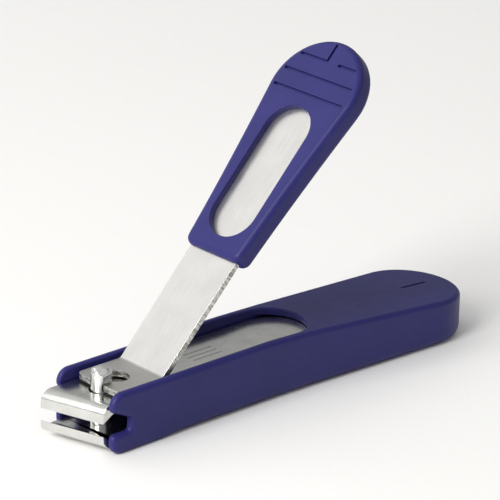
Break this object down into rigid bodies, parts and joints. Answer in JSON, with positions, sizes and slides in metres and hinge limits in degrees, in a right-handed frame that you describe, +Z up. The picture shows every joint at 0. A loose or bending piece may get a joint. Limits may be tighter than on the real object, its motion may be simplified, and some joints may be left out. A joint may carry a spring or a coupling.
{
  "type": "nail clipper",
  "caption": "Lever nail clipper with slanted jaws, a hooked pin, a raised bent lever with a moulded thumb grip, and a moulded case that catches the clippings.",
  "frame": {"origin": "under the middle of the closed-up length, on the surface that the case rests on", "axes": "+X from the jaws to the tail, +Y across towards the longer corner of the slanted jaws, +Z up"},
  "size_m": [0.0982, 0.0216, 0.0638],
  "materials": {
    "moulded_plastic": "satin moulded, deep violet blue",
    "blade_steel": "satin ground, polished jaws",
    "lever_steel": "satin, with sheared edges",
    "pin_steel": "bright turned steel"
  },
  "bodies": {
    "case": {"case": "moulded_plastic"},
    "blade_joint": {"rear_rivet": "pin_steel"},
    "lower_jaw": {"lower_blade": "blade_steel", "pin": "pin_steel"},
    "upper_jaw": {"upper_blade": "blade_steel"},
    "lever": {"lever_arm": "lever_steel", "lever_grip": "moulded_plastic"}
  },
  "joints": [
    {"name": "blade_slide", "type": "slide", "parent": "case", "child": "blade_joint", "axis": [-1, 0, 0], "range_m": [0, 0.068]},
    {"name": "lower_close", "type": "hinge", "parent": "blade_joint", "child": "lower_jaw", "pos_m": [0.02067, 0, 0.00634], "axis": [0, 1, 0], "range_deg": [0, 1]},
    {"name": "upper_close", "type": "hinge", "parent": "blade_joint", "child": "upper_jaw", "pos_m": [0.02067, 0, 0.00634], "axis": [0, -1, 0], "range_deg": [0, 1]},
    {"name": "lever_press", "type": "hinge", "parent": "lower_jaw", "child": "lever", "pos_m": [-0.04, 0, 0.01049], "axis": [0, 1, 0], "range_deg": [0, 11], "stiffness_Nm_per_rad": 1.2}
  ],
  "couplings": [
    {"joint": "lower_close", "follows": "lever_press", "ratio": 0.0883},
    {"joint": "upper_close", "follows": "lever_press", "ratio": 0.0883}
  ]
}
